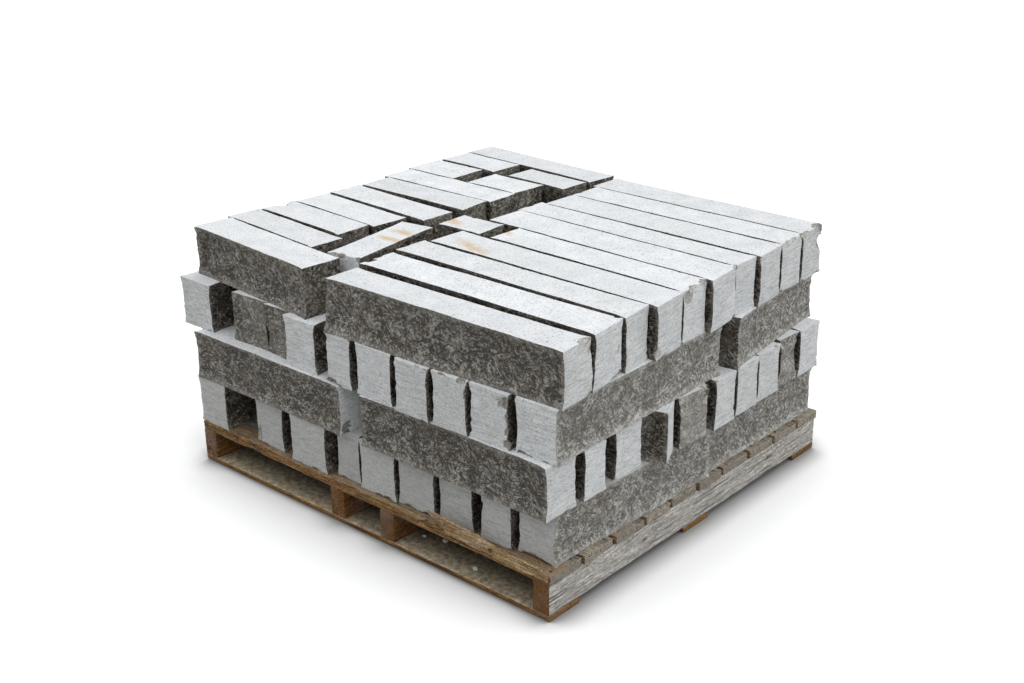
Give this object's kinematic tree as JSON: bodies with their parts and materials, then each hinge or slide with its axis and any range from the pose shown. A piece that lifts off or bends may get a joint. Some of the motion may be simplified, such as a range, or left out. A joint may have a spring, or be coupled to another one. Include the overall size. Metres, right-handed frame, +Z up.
{
  "type": "pallet of sawn wall stone",
  "caption": "Sawn and split wall stone stacked in crossed courses on a timber stringer pallet with fork pockets between its deck and bottom boards",
  "frame": {"origin": "the middle of the pallet, on the floor, under the middle bottom board", "axes": "+X along the deck boards, +Y along the stringers and fork pockets, +Z up"},
  "size_m": [1.3177, 1.1976, 0.635],
  "materials": {
    "stringer_wood": "rough sawn, orange-brown with age",
    "weathered_wood": "rough sawn, weathered pale grey",
    "deck_wood": "rough sawn, splintered along the front edge",
    "bottom_wood": "rough sawn, damp and worn",
    "stone": "sawn pale beds and ends, dark rock-faced split sides"
  },
  "bodies": {
    "root": {"stringer_left": "stringer_wood", "stringer_middle_left": "stringer_wood", "stringer_middle_right": "stringer_wood", "stringer_right": "weathered_wood", "bottom_board_front": "bottom_wood", "bottom_board_middle": "bottom_wood", "bottom_board_back": "bottom_wood", "deck_board_1": "deck_wood", "deck_board_2": "deck_wood", "deck_board_3": "deck_wood", "deck_board_4": "deck_wood", "deck_board_5": "deck_wood", "deck_board_6": "deck_wood", "deck_board_7": "deck_wood", "deck_board_8": "deck_wood", "deck_board_9": "deck_wood", "deck_board_10": "deck_wood", "bottom_course_row_1": "stone", "bottom_course_row_2": "stone", "bottom_course_row_3": "stone", "bottom_course_row_4": "stone", "bottom_course_row_5": "stone", "bottom_course_row_6": "stone", "bottom_course_row_7": "stone", "bottom_course_row_8": "stone", "bottom_course_row_9": "stone", "second_course_row_1": "stone", "second_course_row_2": "stone", "second_course_row_3": "stone", "second_course_row_4": "stone", "second_course_row_5": "stone", "second_course_row_6": "stone", "second_course_row_7": "stone", "second_course_row_8": "stone", "second_course_row_9": "stone", "second_course_row_10": "stone", "second_course_fillers": "stone", "third_course_row_1": "stone", "third_course_row_2": "stone", "third_course_row_3": "stone", "third_course_row_4": "stone", "third_course_row_5": "stone", "third_course_row_6": "stone", "third_course_row_7": "stone", "third_course_row_8": "stone", "third_course_row_9": "stone", "third_course_row_10": "stone", "top_course_row_1": "stone", "top_course_row_2": "stone", "top_course_row_3": "stone", "top_course_row_4": "stone", "top_course_row_5": "stone", "top_course_row_6": "stone", "top_course_row_7": "stone", "top_course_row_8": "stone", "top_course_row_9": "stone", "top_course_row_10": "stone", "top_course_short_piece": "stone", "top_course_key_stone": "stone"}
  },
  "joints": []
}
